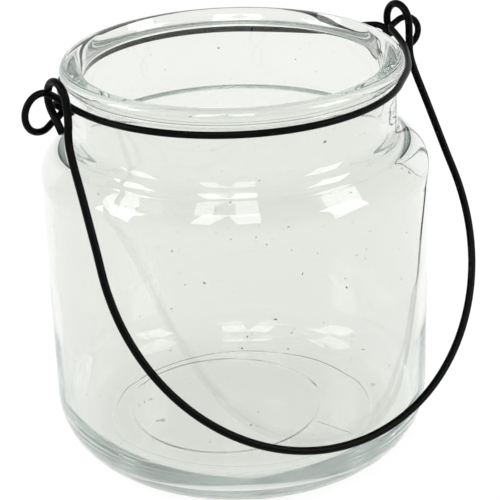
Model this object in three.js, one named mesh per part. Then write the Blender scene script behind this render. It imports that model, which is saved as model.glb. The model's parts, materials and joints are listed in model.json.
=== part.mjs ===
// Mason jar lantern: a glass jar, a wire collar that sits under its rim and a
// wire bail handle hooked into the two eyes of the collar.
// Millimetres, +Z up, jar axis on Z, jar standing on Z = 0, eyes on -X and +X.
import * as THREE from 'three';

// ---- driving dimensions -------------------------------------------------

const COLLAR_WIRE = 2.0;       // wire diameter of the collar
const BAIL_WIRE = 2.3;         // wire diameter of the bail
const WIRE_SIDES = 12;

const BODY_R = 57.5;           // outer radius of the straight wall
const FOOT_R = 42;             // radius of the flat standing face
const HEEL_H = 17.8;           // height where the rounded heel meets the wall
const MARK_R = 30.7;           // ring the mould leaves in the standing face
const MARK_D = 0.5;            // its depth
const MARK_HALF = 0.9;         // half its width
const MARK_OFF = [-1.7, 7.4];  // its centre, a little off the jar's axis
const SHOULDER_Z = 88.6;       // top of the straight wall
const SHOULDER_H = 8.9;        // rise of the shoulder curve
const NECK_R = 48.3;           // outer radius of the neck above the shoulder
const WAIST_R = 47.6;          // the neck is a little narrower under the rim
const RIM_R = 50.1;            // outer radius of the rim bead
const RIM_TOP = 122.4;         // overall height of the glass
const RIM_H = 4.4;             // height of the bead
const BEAD_Z = 120.1;          // height of its widest part
const MOUTH_R = 43.2;          // clear radius of the mouth
const MOUTH_Z = 118.6;         // height where the mouth is narrowest
const THROAT_R = 44.0;         // inner radius of the neck
const WALL = 2.4;              // glass thickness, lower wall
const WALL_TOP = 3.2;          // glass thickness, under the shoulder
const FLOOR_Z = 6.5;           // inside floor, at its edge
const FLOOR_RISE = 0.8;        // dome of the inside floor
const FLOOR_R = 42;            // radius of the inside floor
const CORNER_Z = 20.5;         // height where its rounded corner meets the wall
const JAR_SIDES = 64;

const COLLAR_Z = 116.4;        // centreline height of its front half
const COLLAR_BACK_Z = 115.4;   // the back half hangs a little lower
const COLLAR_R = 50.4;         // centreline radius of its front half
const COLLAR_X = -0.8;         // the front half is a little off centre
const COLLAR_Y = 0.4;
const COLLAR_BACK_R = 50.0;    // centreline radius of its back half

const HINGE_Y = 0.5;           // bail hinge line, parallel to X
const HINGE_Z = 120.5;
const BAIL_X = 1.9;            // middle of the bail, the +X eye stands out more
const BAIL_REST = 30.8;        // lean of the hanging bail from straight down, degrees
const BAIL_R = 62.45;          // radius of the round part of the bail
const BAIL_DROP = 54;          // hinge line to the centre of the round part
const LEFT_HOOK_X = 59.1;      // each hook to the middle of the bail
const RIGHT_HOOK_X = 59.9;
const LEG_X = 60;              // top of each leg to the middle of the bail
const HOOK_R = 5.4;            // centreline radius of the hooks

// ---- helpers ------------------------------------------------------------

const rad = THREE.MathUtils.degToRad;
const P2 = (x, y) => new THREE.Vector2(x, y);
const P3 = (x, y, z) => new THREE.Vector3(x, y, z);

// n + 1 points of an ellipse arc in a lathe profile, angles in degrees.
function arc(cx, cy, rx, ry, from, to, n) {
  return Array.from({ length: n + 1 }, (_, i) => {
    const a = rad(from + ((to - from) * i) / n);
    return P2(cx + rx * Math.cos(a), cy + ry * Math.sin(a));
  });
}

// Points of a quadratic curve, leaving out its first point.
function bend(p0, p1, p2, n) {
  return new THREE.QuadraticBezierCurve(p0, p1, p2).getPoints(n).slice(1);
}

// n + 1 points of a turn of wire about a centre: u and v are the two axes of
// the turn, and drift is how far the centre moves while the turn is made.
function turn(centre, u, v, radius, from, to, n, drift = P3(0, 0, 0)) {
  return Array.from({ length: n + 1 }, (_, i) => {
    const a = rad(from + ((to - from) * i) / n);
    return centre.clone()
      .addScaledVector(u, radius * Math.cos(a))
      .addScaledVector(v, radius * Math.sin(a))
      .addScaledVector(drift, i / n);
  });
}

// A smooth path stepped evenly from point to point, so that its steps are
// short where its points are close together and long on the open arcs.
class WirePath extends THREE.CatmullRomCurve3 {
  constructor(points) {
    super(points, false, 'centripetal');
  }

  getUtoTmapping(u) {
    return u;
  }
}

function wire(points, diameter, stepsPerPoint) {
  const section = new THREE.Shape(
    Array.from({ length: WIRE_SIDES }, (_, i) => {
      const a = (2 * Math.PI * i) / WIRE_SIDES;
      return P2((diameter / 2) * Math.cos(a), (diameter / 2) * Math.sin(a));
    }),
  );
  return new THREE.ExtrudeGeometry(section, {
    steps: (points.length - 1) * stepsPerPoint,
    extrudePath: new WirePath(points),
  });
}

// ---- glass jar ----------------------------------------------------------

function jarProfile() {
  const neckTop = RIM_TOP - RIM_H - 1.2;
  const shoulder = arc(NECK_R, SHOULDER_Z, BODY_R - NECK_R, SHOULDER_H, 0, 66, 5);
  const outside = [
    P2(0, 0),
    P2(MARK_R - MARK_HALF, 0), P2(MARK_R, MARK_D), P2(MARK_R + MARK_HALF, 0),
    ...arc(FOOT_R, HEEL_H, BODY_R - FOOT_R, HEEL_H, -90, 0, 7),
    ...shoulder,
    ...bend(shoulder.at(-1), P2(NECK_R, 97.8), P2(NECK_R, 102), 4),
    P2(WAIST_R, neckTop),
    ...bend(P2(WAIST_R, neckTop), P2(WAIST_R, 117.8), P2(RIM_R - 1, 117.9), 3),
    ...arc(RIM_R - 2, BEAD_Z, 2, RIM_TOP - BEAD_Z, -50, 90, 5),
  ];
  const wallIn = BODY_R - WALL;
  const shoulderIn = BODY_R - WALL_TOP;
  const inside = [
    ...arc(MOUTH_R + 3.3, MOUTH_Z, 3.3, RIM_TOP - MOUTH_Z, 90, 180, 4),
    P2(THROAT_R, 111), P2(THROAT_R + 0.1, 103.6),
    ...bend(P2(THROAT_R + 0.1, 103.6), P2(THROAT_R + 0.2, 100.6), P2(46.4, 97.9), 3),
    ...bend(P2(46.4, 97.9), P2(54.6, 92.4), P2(shoulderIn, 85), 5),
    P2(wallIn - 0.4, 70), P2(wallIn, 58), P2(wallIn, 40),
    ...arc(FLOOR_R, CORNER_Z, wallIn - 0.4 - FLOOR_R, CORNER_Z - FLOOR_Z, 0, -90, 6),
    P2(0, FLOOR_Z + FLOOR_RISE),
  ];
  return [...outside, ...inside];
}

// The jar turned from its profile, with the mould's ring moved off centre.
function jarGeometry() {
  const jar = new THREE.LatheGeometry(jarProfile(), JAR_SIDES).rotateX(Math.PI / 2);
  const place = jar.attributes.position;
  for (let i = 0; i < place.count; i += 1) {
    const [x, y] = [place.getX(i), place.getY(i)];
    const fromRing = Math.abs(Math.hypot(x, y) - MARK_R);
    const onMark = place.getZ(i) < 2 * MARK_D && fromRing < MARK_HALF + 0.1;
    if (onMark) place.setXY(i, x + MARK_OFF[0], y + MARK_OFF[1]);
  }
  return jar;
}

// ---- wire collar --------------------------------------------------------

// Points of the collar between two angles from +X, counter-clockwise seen
// from above.
function collarArc(cx, z, radius, from, to, n) {
  return turn(P3(cx, COLLAR_Y, z), P3(1, 0, 0), P3(0, 1, 0), radius, from, to, n);
}

const UP = P3(0, 0, 1);
const LEFT_OUT = P3(-0.97, -0.24, 0);      // the way each eye stands out
const RIGHT_OUT = P3(0.97, -0.22, 0);

// One length of wire: it starts as a small hook round its own other end, runs
// round the back, makes the right eye, runs round the front, makes the left
// eye and ends inside the hook it started with.
function collarPath() {
  const clasp = P3(-52.6, 5.8, 115.8);      // where the two ends hold each other
  const claspU = P3(0.83, 0, -0.55);
  const claspV = P3(0, -1, 0);
  return [
    clasp.clone().addScaledVector(claspU, -2.2).add(P3(0, 2.2, 0)),
    ...turn(clasp, claspU, claspV, 2.4, 180, 0, 6),
    P3(-50.6, 8.6, 115.2),
    ...collarArc(0, COLLAR_BACK_Z, COLLAR_BACK_R, 160, 46, 14),
    P3(50.6, 17.4, 116.6), P3(56.2, 10, 118), P3(58.7, 6.4, 118.4), P3(59.3, 4.2, 117.9),
    P3(59.35, 2.7, 116.4), P3(59.4, 2, 114.2),
    ...turn(P3(64.9, 2, 116), RIGHT_OUT, UP, 5, -125, 130, 9, P3(0, -1, 0)),
    P3(59.6, 1.0, 119.0), P3(58.6, -0.4, 118.8), P3(57.8, -3.4, 118.2), P3(55.6, -9.8, 116.9),
    P3(50.1, -18.6, COLLAR_Z), P3(43.3, -27.5, COLLAR_Z),
    ...collarArc(COLLAR_X, COLLAR_Z, COLLAR_R, -46, -176, 16),
    P3(-52.6, 0.4, 117.4), P3(-55.2, 0.9, 119.7),
    ...turn(P3(-62.1, 0.2, 117.4), LEFT_OUT, UP, 6.2, 125, -125, 9, P3(1.6, 3.6, 0.8)),
    P3(-55.2, 5.1, 113.8),
    clasp.clone(),
    P3(-51.8, 5.9, 117.6),
  ];
}

// ---- wire bail ----------------------------------------------------------

// A bail point: x from its middle, drop down its plane from the hinge line,
// out square to its plane on the side away from the jar.
function onBail(x, drop, out = 0) {
  const lean = rad(BAIL_REST);
  return P3(
    BAIL_X + x,
    HINGE_Y - drop * Math.sin(lean) - out * Math.cos(lean),
    HINGE_Z - drop * Math.cos(lean) + out * Math.sin(lean),
  );
}

// One side of the bail, from its cut end round the hook and down the leg.
function bailSide(side, hookX, tail) {
  const hook = [];
  for (let i = 0; i <= 9; i += 1) {
    const a = rad(-100 + (220 * i) / 9);
    hook.push(onBail(side * hookX, -HOOK_R * Math.cos(a), HOOK_R * Math.sin(a)));
  }
  const cutEnd = [1, 0.45].map((k) =>
    onBail(side * hookX, 0.9 + 0.96 * k * tail, 0.3 - HOOK_R + 0.24 * k * tail));
  const leg = [14, 28, 42].map((drop) =>
    onBail(side * (LEG_X + ((BAIL_R - LEG_X) * (drop - 14)) / (BAIL_DROP - 14)), drop));
  return [
    ...cutEnd,
    ...hook,
    onBail(side * hookX, 7, 2.4),
    onBail(side * (hookX + LEG_X) / 2, 10.6, 0.6),
    ...leg,
  ];
}

function bailPath() {
  const round = [];
  for (let a = 0; a <= 180; a += 10) {
    round.push(onBail(-BAIL_R * Math.cos(rad(a)), BAIL_DROP + BAIL_R * Math.sin(rad(a))));
  }
  const left = bailSide(-1, LEFT_HOOK_X, 8);
  const right = bailSide(1, RIGHT_HOOK_X, 2.4);
  return [...left, ...round, ...right.reverse()];
}

// ---- the three pieces ---------------------------------------------------

const glass = { color: 0xdfe8e2, roughness: 0.05, metalness: 0, transparent: true, opacity: 0.35 };
const paint = { color: 0x17171a, roughness: 0.45, metalness: 0.3 };
const pieces = {
  glass_jar: [jarGeometry(), glass],
  neck_wire: [wire(collarPath(), COLLAR_WIRE, 3), paint],
  bail_handle: [wire(bailPath(), BAIL_WIRE, 3), paint],
};

const group = new THREE.Group();
for (const [name, [geometry, look]] of Object.entries(pieces)) {
  const mesh = new THREE.Mesh(geometry, new THREE.MeshStandardMaterial(look));
  mesh.name = name;
  group.add(mesh);
}

export default group;
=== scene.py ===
"""Looks of the jar lantern: clear pressed glass and satin black wire on a pale floor."""

import json
import math

import bpy
from mathutils import Matrix, Vector, noise

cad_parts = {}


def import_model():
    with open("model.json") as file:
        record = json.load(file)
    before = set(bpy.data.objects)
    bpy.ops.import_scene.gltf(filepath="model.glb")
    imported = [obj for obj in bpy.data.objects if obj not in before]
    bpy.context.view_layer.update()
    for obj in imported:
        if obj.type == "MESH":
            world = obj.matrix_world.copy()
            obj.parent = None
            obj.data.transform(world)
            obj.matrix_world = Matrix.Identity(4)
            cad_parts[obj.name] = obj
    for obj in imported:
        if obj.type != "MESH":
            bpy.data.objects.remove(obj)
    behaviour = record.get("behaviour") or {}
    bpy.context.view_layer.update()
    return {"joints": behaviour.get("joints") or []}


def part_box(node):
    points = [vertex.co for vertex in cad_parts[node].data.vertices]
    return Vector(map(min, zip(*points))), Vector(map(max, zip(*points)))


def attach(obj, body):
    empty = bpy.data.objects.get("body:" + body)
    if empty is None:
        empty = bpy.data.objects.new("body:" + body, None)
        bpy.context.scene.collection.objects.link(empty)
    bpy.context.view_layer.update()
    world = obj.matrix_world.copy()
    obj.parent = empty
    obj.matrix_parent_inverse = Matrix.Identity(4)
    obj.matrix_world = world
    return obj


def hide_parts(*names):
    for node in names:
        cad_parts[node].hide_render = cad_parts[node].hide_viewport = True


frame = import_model()

MM = 0.001
jar_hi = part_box("glass_jar")[1]
hinge_m = next(j for j in frame["joints"] if j["name"] == "bail_swing")["pos_m"]

# Shapes are in millimetres, materials and the stage in metres.
RIM_TOP = jar_hi.z / MM  # overall height of the glass
BODY_R = jar_hi.x / MM  # outer radius of the straight wall
FOOT_R = 42  # radius of the flat standing face
HEEL_H = 17.8  # height where the rounded heel meets the wall
GROOVE_R, GROOVE_D = 41.2, 0.2  # fine groove just inside the standing face's edge
SHOULDER_Z, SHOULDER_H = 88.6, 8.9  # top of the straight wall, rise of the shoulder
NECK_R = 48.3  # outer radius of the neck above the shoulder
WAIST_R = 47.6  # the neck is a little narrower under the rim
RIM_R = 50.1  # outer radius of the rim bead
BEAD_Z = 120.1  # height of its widest part
MOUTH_R, MOUTH_Z = 43.2, 118.6  # where the mouth is narrowest
THROAT_R = 44.0  # inner radius of the neck
WALL, WALL_TOP = 2.4, 3.2  # glass thickness: lower wall, under the shoulder
FLOOR_R, FLOOR_Z, FLOOR_RISE = 42, 6.5, 0.8  # inside floor: radius, edge height, dome
CORNER_Z = 20.5  # height where its rounded corner meets the wall

COLLAR_WIRE, BAIL_WIRE = 2.0, 2.3  # wire diameters
COLLAR_Z, COLLAR_R = 116.4, 50.4  # centreline of the collar's front half
COLLAR_X, COLLAR_Y = -0.8, 0.4  # it is a little off the jar's axis
COLLAR_BACK_Z, COLLAR_BACK_R = 115.4, 50.0  # centreline of its back half

HINGE = Vector(hinge_m) / MM  # middle of the bail's hinge line
BAIL_REST = math.radians(30.8)  # lean of the hanging bail from straight down
BAIL_R, BAIL_DROP = 62.45, 54  # round part of the bail: radius, hinge line to its centre
LEFT_HOOK_X, RIGHT_HOOK_X, LEG_X = 59.1, 59.9, 60  # hooks and legs to its middle
HOOK_R = 5.4  # centreline radius of the hooks


# ---- material helpers ----------------------------------------------------------


class Nodes:
    """A new material with its Principled shader, and short calls to add nodes."""

    COLOUR_UNDER, COLOUR_OVER, COLOUR_OUT = 6, 7, 2  # a Mix node's colour sockets

    def __init__(self, name):
        self.material = bpy.data.materials.new(name)
        self.material.use_nodes = True
        self.tree = self.material.node_tree
        self.shader = self.tree.nodes["Principled BSDF"]
        self.out = self.tree.nodes["Material Output"]
        self.place = self.add("ShaderNodeTexCoord").outputs["Object"]

    def add(self, kind, **inputs):
        """Adds a node and sets its inputs, named with _ in place of a space."""
        node = self.tree.nodes.new(kind)
        for key, value in inputs.items():
            self.set(node, key.replace("_", " "), value)
        return node

    def set(self, node, key, value):
        if isinstance(value, bpy.types.NodeSocket):
            self.tree.links.new(value, node.inputs[key])
        else:
            node.inputs[key].default_value = value

    def noise(self, scale, detail, rough=0.5):
        """Noise from 0 to 1, scale in features per metre."""
        node = self.add("ShaderNodeTexNoise", Vector=self.place, Scale=scale)
        self.set(node, "Detail", detail)
        self.set(node, "Roughness", rough)
        return node.outputs["Fac"]

    def ramp(self, value, *stops):
        """Turns a number into the grey or colour given by (position, value) stops."""
        node = self.add("ShaderNodeValToRGB", Fac=value)
        elements = node.color_ramp.elements
        while len(elements) < len(stops):
            elements.new(0.5)
        for element, (position, colour) in zip(elements, stops):
            element.position = position
            element.color = (*colour, 1) if isinstance(colour, tuple) else (colour,) * 3 + (1,)
        return node.outputs["Color"]

    def math(self, operation, a, b):
        node = self.add("ShaderNodeMath")
        node.operation = operation
        self.set(node, 0, a)
        self.set(node, 1, b)
        return node.outputs[0]

    def absolute(self, value):
        return self.math("ABSOLUTE", value, 0.0)

    def spread(self, value, low, high):
        """Moves a number from the range 0 to 1 to the range low to high."""
        node = self.add("ShaderNodeMapRange", Value=value, To_Min=low, To_Max=high)
        return node.outputs[0]

    def fade(self, value, reach):
        """1 where the value is 0, falling smoothly to 0 where it is the reach or more."""
        node = self.add("ShaderNodeMapRange", Value=value, From_Max=reach, To_Min=1.0, To_Max=0.0)
        node.interpolation_type = "SMOOTHSTEP"
        return node.outputs[0]

    def distance(self, place, point):
        node = self.add("ShaderNodeVectorMath")
        node.operation = "DISTANCE"
        self.set(node, 0, place)
        self.set(node, 1, point)
        return node.outputs["Value"]

    def cover(self, colour, over, factor):
        """A colour covered by another one where the factor is 1."""
        node = self.add("ShaderNodeMix", Factor=factor)
        node.data_type = "RGBA"
        self.set(node, self.COLOUR_UNDER, colour)
        self.set(node, self.COLOUR_OVER, (*over, 1))
        return node.outputs[self.COLOUR_OUT]

    def bump(self, height, distance, under=None):
        node = self.add("ShaderNodeBump", Height=height, Distance=distance)
        if under is not None:
            self.set(node, "Normal", under)
        return node.outputs[0]


# ---- geometry helpers ----------------------------------------------------------


def smooth_mesh(name, points, faces):
    mesh = bpy.data.meshes.new(name)
    mesh.from_pydata([p * MM for p in points], [], faces)
    mesh.shade_smooth()
    mesh.update()
    piece = bpy.data.objects.new(name, mesh)
    bpy.context.scene.collection.objects.link(piece)
    return piece


def arc(cx, cy, rx, ry, start, end, n):
    """n + 1 points of an ellipse arc, angles in degrees."""
    steps = [math.radians(start + (end - start) * i / n) for i in range(n + 1)]
    return [(cx + rx * math.cos(a), cy + ry * math.sin(a)) for a in steps]


def bend(p0, p1, p2, n):
    """Points of a quadratic curve, leaving out its first point."""
    out = []
    for i in range(1, n + 1):
        t = i / n
        weights = (1 - t) ** 2, 2 * t * (1 - t), t * t
        out.append(tuple(sum(w * p for w, p in zip(weights, axis)) for axis in zip(p0, p1, p2)))
    return out


def catmull_rom(points, steps):
    """A centripetal Catmull-Rom curve through the points, the same one as the CAD wires follow."""
    ends = [2 * points[0] - points[1]], [2 * points[-1] - points[-2]]
    p = ends[0] + points + ends[1]
    out = []
    for i in range(1, len(p) - 2):
        d = [max((p[i + k] - p[i + k - 1]).length ** 0.5, 1e-6) for k in (0, 1, 2)]
        span = p[i + 1] - p[i]
        m0 = ((p[i] - p[i - 1]) / d[0] - (p[i + 1] - p[i - 1]) / (d[0] + d[1]) + span / d[1]) * d[1]
        m1 = (span / d[1] - (p[i + 2] - p[i]) / (d[1] + d[2]) + (p[i + 2] - p[i + 1]) / d[2]) * d[1]
        for k in range(steps):
            t = k / steps
            out.append(p[i] + m0 * t + (3 * span - 2 * m0 - m1) * t * t + (m0 + m1 - 2 * span) * t**3)
    return out + [points[-1]]


def wire(name, points, diameter, sides=24, steps=6):
    """Round wire swept along a smooth path, with slightly rounded cut ends."""
    path = catmull_rom(points, steps)
    radius = diameter / 2
    start, end = path[0], path[-1]
    first, last = (path[1] - start).normalized(), (path[-2] - end).normalized()
    cut, rounding = 0.8, 0.18 * radius  # the cut face's size, the length it narrows over
    rings = [(start, cut), (start + first * rounding, 1.0)] + [(p, 1.0) for p in path[1:-1]]
    rings += [(end + last * rounding, 1.0), (end, cut)]
    across = first.orthogonal().normalized()
    points_out, faces = [], []
    for i, (centre, size) in enumerate(rings):
        before, after = rings[max(i - 1, 0)][0], rings[min(i + 1, len(rings) - 1)][0]
        along = (after - before).normalized()
        across = (across - along * across.dot(along)).normalized()
        other = along.cross(across)
        for k in range(sides):
            a = 2 * math.pi * k / sides
            points_out.append(centre + radius * size * (across * math.cos(a) + other * math.sin(a)))
    for i in range(len(rings) - 1):
        for k in range(sides):
            a, b = i * sides + k, i * sides + (k + 1) % sides
            faces.append((a, b, b + sides, a + sides))
    tail = (len(rings) - 1) * sides
    faces.append(tuple(reversed(range(sides))))
    faces.append(tuple(tail + k for k in range(sides)))
    return smooth_mesh(name, points_out, faces)


# ---- glass jar -----------------------------------------------------------------


def jar_profile():
    """Radius and height of points from the middle of the foot, over the rim, to the inside floor."""
    neck_top = RIM_TOP - 5.6
    shoulder = arc(NECK_R, SHOULDER_Z, BODY_R - NECK_R, SHOULDER_H, 0, 66, 20)
    lip = 0.06  # height of the groove's softened edges
    outside = (
        [(0, 0), (GROOVE_R - 0.8, 0), (GROOVE_R - 0.4, lip)]
        + [(GROOVE_R, GROOVE_D), (GROOVE_R + 0.4, lip)]
        + arc(FOOT_R, HEEL_H, BODY_R - FOOT_R, HEEL_H, -90, 0, 28)
        + shoulder
        + bend(shoulder[-1], (NECK_R, 97.8), (NECK_R, 102), 14)
        + [(WAIST_R, neck_top)]
        + bend((WAIST_R, neck_top), (WAIST_R, 117.8), (RIM_R - 1, 117.9), 8)
        + arc(RIM_R - 2, BEAD_Z, 2, RIM_TOP - BEAD_Z, -50, 90, 16)
    )
    wall_in, shoulder_in = BODY_R - WALL, BODY_R - WALL_TOP
    throat, hollow = (THROAT_R + 0.1, 103.6), (46.4, 97.9)
    # A fine ridge runs round the inside floor, where its rounded corner begins.
    ridge = [(41.7, 6.62), (41.3, 6.84), (40.9, 6.66), (40.4, 6.54)]
    inside = (
        arc(MOUTH_R + 3.3, MOUTH_Z, 3.3, RIM_TOP - MOUTH_Z, 90, 180, 14)
        + [(THROAT_R, 111), throat]
        + bend(throat, (THROAT_R + 0.2, 100.6), hollow, 10)
        + bend(hollow, (54.6, 92.4), (shoulder_in, 85), 14)
        + [(wall_in - 0.4, 70), (wall_in, 58), (wall_in, 40)]
        + arc(FLOOR_R, CORNER_Z, wall_in - 0.4 - FLOOR_R, CORNER_Z - FLOOR_Z, 0, -90, 28)
        + ridge
        + [(0, FLOOR_Z + FLOOR_RISE)]
    )
    return outside + inside


def closer(profile, longest=1.6):
    """The same profile with points added on its long straight runs."""
    out = [profile[0]]
    for (r0, z0), (r1, z1) in zip(profile, profile[1:]):
        n = max(1, math.ceil(math.hypot(r1 - r0, z1 - z0) / longest))
        out += [(r0 + (r1 - r0) * i / n, z0 + (z1 - z0) * i / n) for i in range(1, n + 1)]
    return out


def unevenness(place):
    """How far pressed glass stands out from its true shape, less at the foot and the rim."""
    drawn = noise.noise(Vector((place.x, place.y, place.z * 2.2)) / 26)
    ripple = noise.noise(Vector((place.x * 0.6, place.y * 0.6, place.z * 1.6 + 40)) / 9)
    near_foot = min(1, place.z / 8)
    near_rim = min(1, max(0.12, (116 - place.z) / 14))
    return (0.08 * drawn + 0.014 * ripple) * near_foot * near_rim


def glass_jar(sides=256):
    """The jar turned from its profile, with the slight unevenness of pressed glass."""
    points, faces, rows = [], [], []
    for r, z in closer(jar_profile()):
        if r < 1e-6:
            rows.append([len(points)] * sides)
            points.append(Vector((0, 0, z)))
            continue
        rows.append(list(range(len(points), len(points) + sides)))
        for k in range(sides):
            a = 2 * math.pi * k / sides
            place = Vector((r * math.cos(a), r * math.sin(a), z))
            out = 1 + unevenness(place) / r
            points.append(Vector((place.x * out, place.y * out, z)))
    for low, high in zip(rows, rows[1:]):
        for k in range(sides):
            quad = [low[k], low[(k + 1) % sides], high[(k + 1) % sides], high[k]]
            faces.append(tuple(dict.fromkeys(quad)))
    return smooth_mesh("jar_glass", points, faces)


def mould_marks(m):
    """Relief of the standing face: a thin ring off the jar's centre and a short seam beside it."""
    ring_centre, ring_r, ring_half = (-0.0017, 0.0074, 0), 0.0307, 0.0013
    seam_x, seam_y, seam_half = 0.0138, -0.0188, 0.0011
    run_x, run_y = 0.0055, -0.0136  # from the seam's start to its end
    split = m.add("ShaderNodeSeparateXYZ", Vector=m.place)
    x, y, z = (split.outputs[axis] for axis in "XYZ")
    flat = m.add("ShaderNodeCombineXYZ", X=x, Y=y)
    away = m.distance(flat.outputs[0], ring_centre)
    ring = m.fade(m.absolute(m.math("SUBTRACT", away, ring_r)), ring_half)
    along = m.math("DIVIDE", m.math("SUBTRACT", y, seam_y), run_y)
    line_x = m.math("ADD", seam_x, m.math("MULTIPLY", along, run_x))
    seam = m.fade(m.absolute(m.math("SUBTRACT", x, line_x)), seam_half)
    ends = m.fade(m.absolute(m.math("SUBTRACT", along, 0.5)), 0.75)
    marks = m.math("MAXIMUM", ring, m.math("MULTIPLY", seam, ends))
    return m.math("MULTIPLY", marks, m.math("LESS_THAN", z, 0.001))


def glass_material():
    """Clear glass with slow changes of tint, dust specks and the mould's marks."""
    dust_and_size = (
        ((-0.0265, 0.0059, 0.0068), 0.0014),
        ((-0.0279, 0.0064, 0.0068), 0.0009),
        ((0.0406, -0.016, 0.007), 0.0013),
        ((-0.0229, 0.0194, 0.0068), 0.0009),
    )
    m = Nodes("clear_pressed_glass")
    s = m.shader
    m.set(s, "Transmission Weight", 1.0)
    m.set(s, "IOR", 1.51)
    tint = m.ramp(m.noise(14, 2), (0.3, (0.87, 0.882, 0.852)), (0.7, (0.886, 0.897, 0.87)))
    specks = m.ramp(m.noise(620, 3, 0.55), (0.725, 0.0), (0.75, 1.0))
    for point, size in dust_and_size:
        specks = m.math("MAXIMUM", specks, m.fade(m.distance(m.place, point), size))
    m.set(s, "Base Color", m.cover(tint, (0.03, 0.03, 0.028), specks))
    m.set(s, "Roughness", m.spread(specks, 0.01, 0.4))
    m.set(s, "Normal", m.bump(mould_marks(m), 0.0002))
    absorb = m.add("ShaderNodeVolumeAbsorption", Color=(0.46, 0.57, 0.535, 1), Density=6.0)
    m.tree.links.new(absorb.outputs[0], m.out.inputs["Volume"])
    return m.material


# ---- wires ---------------------------------------------------------------------


def turn(centre, u, v, radius, start, end, n, drift=(0, 0, 0)):
    """n + 1 points of a turn of wire: drift is how far its centre moves on the way."""
    out = []
    for i in range(n + 1):
        a = math.radians(start + (end - start) * i / n)
        out.append(centre + radius * (u * math.cos(a) + v * math.sin(a)) + Vector(drift) * (i / n))
    return out


def collar_path():
    """One wire: a hook round its own end, the back, the right eye, the front, the left eye."""

    def on_neck(x, z, radius, start, end, n):
        x_axis, y_axis = Vector((1, 0, 0)), Vector((0, 1, 0))
        return turn(Vector((x, COLLAR_Y, z)), x_axis, y_axis, radius, start, end, n)

    def places(*points):
        return [Vector(p) for p in points]

    up, left_out, right_out = Vector((0, 0, 1)), Vector((-0.97, -0.24, 0)), Vector((0.97, -0.22, 0))
    clasp = Vector((-52.6, 5.8, 115.8))
    clasp_u, clasp_v = Vector((0.83, 0, -0.55)), Vector((0, -1, 0))
    return (
        [clasp - clasp_u * 2.2 + Vector((0, 2.2, 0))]
        + turn(clasp, clasp_u, clasp_v, 2.4, 180, 0, 6)
        + places((-50.6, 8.6, 115.2))
        + on_neck(0, COLLAR_BACK_Z, COLLAR_BACK_R, 160, 46, 14)
        + places((50.6, 17.4, 116.6), (56.2, 10, 118), (58.7, 6.4, 118.4), (59.3, 4.2, 117.9))
        + places((59.35, 2.7, 116.4), (59.4, 2, 114.2))
        + turn(Vector((64.9, 2, 116)), right_out, up, 5, -125, 130, 9, (0, -1, 0))
        + places((59.6, 1, 119), (58.6, -0.4, 118.8), (57.8, -3.4, 118.2), (55.6, -9.8, 116.9))
        + places((50.1, -18.6, COLLAR_Z), (43.3, -27.5, COLLAR_Z))
        + on_neck(COLLAR_X, COLLAR_Z, COLLAR_R, -46, -176, 16)
        + places((-52.6, 0.4, 117.4), (-55.2, 0.9, 119.7))
        + turn(Vector((-62.1, 0.2, 117.4)), left_out, up, 6.2, 125, -125, 9, (1.6, 3.6, 0.8))
        + places((-55.2, 5.1, 113.8), clasp, (-51.8, 5.9, 117.6))
    )


def on_bail(x, drop, out=0.0):
    """A point x from the bail's middle, drop down its plane from the hinge, out away from the jar."""
    y = -drop * math.sin(BAIL_REST) - out * math.cos(BAIL_REST)
    z = -drop * math.cos(BAIL_REST) + out * math.sin(BAIL_REST)
    return HINGE + Vector((x, y, z))


def bail_side(side, hook_x, tail):
    """One side of the bail, from its cut end round the hook and down the leg."""
    cut_end = [
        on_bail(side * hook_x, 0.9 + 0.96 * k * tail, 0.3 - HOOK_R + 0.24 * k * tail)
        for k in (1, 0.45)
    ]
    angles = [math.radians(-100 + 220 * i / 9) for i in range(10)]
    hook = [on_bail(side * hook_x, -HOOK_R * math.cos(a), HOOK_R * math.sin(a)) for a in angles]
    knee = [on_bail(side * hook_x, 7, 2.4), on_bail(side * (hook_x + LEG_X) / 2, 10.6, 0.6)]
    widening = (BAIL_R - LEG_X) / (BAIL_DROP - 14)
    leg = [on_bail(side * (LEG_X + widening * (drop - 14)), drop) for drop in (14, 28, 42)]
    return cut_end + hook + knee + leg


def bail_path():
    angles = [math.radians(10 * i) for i in range(19)]
    bow = [on_bail(-BAIL_R * math.cos(a), BAIL_DROP + BAIL_R * math.sin(a)) for a in angles]
    return bail_side(-1, LEFT_HOOK_X, 8) + bow + bail_side(1, RIGHT_HOOK_X, 2.4)[::-1]


def wire_material():
    """Satin black with slow changes of tone and gloss, a fine grain and small worn spots."""
    m = Nodes("satin_black_wire")
    s = m.shader
    blotch = m.noise(260, 4, 0.6)
    fine = m.noise(2600, 3, 0.6)
    worn = m.ramp(m.noise(520, 5, 0.7), (0.66, 0.0), (0.74, 1.0))
    base = m.ramp(blotch, (0.35, (0.0006, 0.0006, 0.0006)), (0.7, (0.002, 0.002, 0.0021)))
    m.set(s, "Base Color", m.cover(base, (0.03, 0.029, 0.028), m.math("MULTIPLY", worn, 0.5)))
    m.set(s, "Roughness", m.spread(blotch, 0.22, 0.36))
    m.set(s, "Specular IOR Level", 0.05)
    m.set(s, "Normal", m.bump(fine, 0.00003, under=m.bump(blotch, 0.00012)))
    return m.material


jar = glass_jar()
jar.data.materials.append(glass_material())
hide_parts("glass_jar")
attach(jar, "jar")

black = wire_material()
for name, path, diameter, node, body in (
    ("collar_wire", collar_path(), COLLAR_WIRE, "neck_wire", "collar"),
    ("bail_wire", bail_path(), BAIL_WIRE, "bail_handle", "bail"),
):
    piece = wire(name, path, diameter)
    piece.data.materials.append(black)
    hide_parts(node)
    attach(piece, body)


# ---- floor, light and camera -----------------------------------------------------


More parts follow.
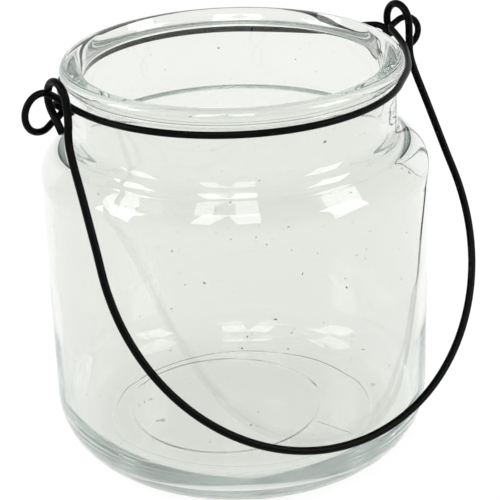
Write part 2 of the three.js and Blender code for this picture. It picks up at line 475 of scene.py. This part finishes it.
def floor():
    """A wide pale floor, a little under the jar, that gives off most of its own light."""
    half, drop = 6.0, 0.0002
    corners = [(-half, -half, -drop), (half, -half, -drop), (half, half, -drop), (-half, half, -drop)]
    mesh = bpy.data.meshes.new("floor")
    mesh.from_pydata(corners, [], [(0, 1, 2, 3)])
    piece = bpy.data.objects.new("floor", mesh)
    bpy.context.scene.collection.objects.link(piece)
    m = Nodes("pale_floor")
    m.set(m.shader, "Base Color", m.ramp(m.noise(60, 3), (0.3, 0.12), (0.7, 0.125)))
    m.set(m.shader, "Roughness", 0.9)
    m.set(m.shader, "Specular IOR Level", 0.1)
    m.set(m.shader, "Emission Color", (1, 1, 1, 1))
    m.set(m.shader, "Emission Strength", 0.91)
    mesh.materials.append(m.material)


def softbox(name, azimuth, elevation, width, height, power):
    """A rectangular area light that faces the jar, azimuth in degrees from +X."""
    aim, away = Vector((0, 0, 0.08)), 1.2
    a, e = math.radians(azimuth), math.radians(elevation)
    towards = Vector((math.cos(a) * math.cos(e), math.sin(a) * math.cos(e), math.sin(e)))
    light = bpy.data.lights.new(name, "AREA")
    light.shape = "RECTANGLE"
    light.size, light.size_y = width, height
    light.energy = power
    lamp = bpy.data.objects.new(name, light)
    lamp.location = aim + away * towards
    lamp.rotation_euler = (-towards).to_track_quat("-Z", "Y").to_euler()
    bpy.context.scene.collection.objects.link(lamp)


def world():
    """Pale near the horizon and greyer overhead, as in a tent with dark cloth above."""
    w = bpy.data.worlds.new("studio")
    bpy.context.scene.world = w
    w.use_nodes = True
    nodes, links = w.node_tree.nodes, w.node_tree.links
    place = nodes.new("ShaderNodeTexCoord")
    split = nodes.new("ShaderNodeSeparateXYZ")
    ramp = nodes.new("ShaderNodeValToRGB")
    links.new(place.outputs["Generated"], split.inputs[0])
    links.new(split.outputs["Z"], ramp.inputs["Fac"])
    links.new(ramp.outputs["Color"], nodes["Background"].inputs["Color"])
    # The ramp's positions are the sine of the height above the horizon.
    low, high = ramp.color_ramp.elements
    low.position, low.color = 0.12, (0.95, 0.95, 0.95, 1)
    high.position, high.color = 0.65, (0.48, 0.48, 0.48, 1)
    nodes["Background"].inputs["Strength"].default_value = 1.0


def camera():
    """The eye looks down at the jar from the front left, tilted a little."""
    turned, elevation, roll = math.radians(33), math.radians(24.32), math.radians(1.67)
    away, aside = 0.5326, 0.00367
    target = Vector((0, 0, 0.06))
    right = Vector((math.cos(turned), -math.sin(turned), 0))
    level = Vector((-math.sin(turned), -math.cos(turned), 0))
    back = level * math.cos(elevation) + Vector((0, 0, math.sin(elevation)))
    cam = bpy.data.cameras.new("camera")
    cam.sensor_width = 36
    cam.lens = 125.86
    cam.clip_start = 0.01
    eye = bpy.data.objects.new("camera", cam)
    bpy.context.scene.collection.objects.link(eye)
    eye.location = target + back * away
    look = (target + right * aside - eye.location).to_track_quat("-Z", "Y").to_matrix().to_4x4()
    eye.rotation_euler = (look @ Matrix.Rotation(-roll, 4, "Z")).to_euler()
    bpy.context.scene.camera = eye


floor()
world()
softbox("window_left", -145, 53, 0.22, 0.75, 2.3)
softbox("window_right", -116, 53, 0.26, 0.75, 2.7)
softbox("side_right", -53, 30, 0.45, 0.6, 4.4)
softbox("side_left", 160, 30, 0.45, 0.6, 4.4)
camera()
bpy.context.scene.view_settings.view_transform = "Standard"
for kind in ("max", "glossy", "transmission"):
    setattr(bpy.context.scene.cycles, f"{kind}_bounces", 32)
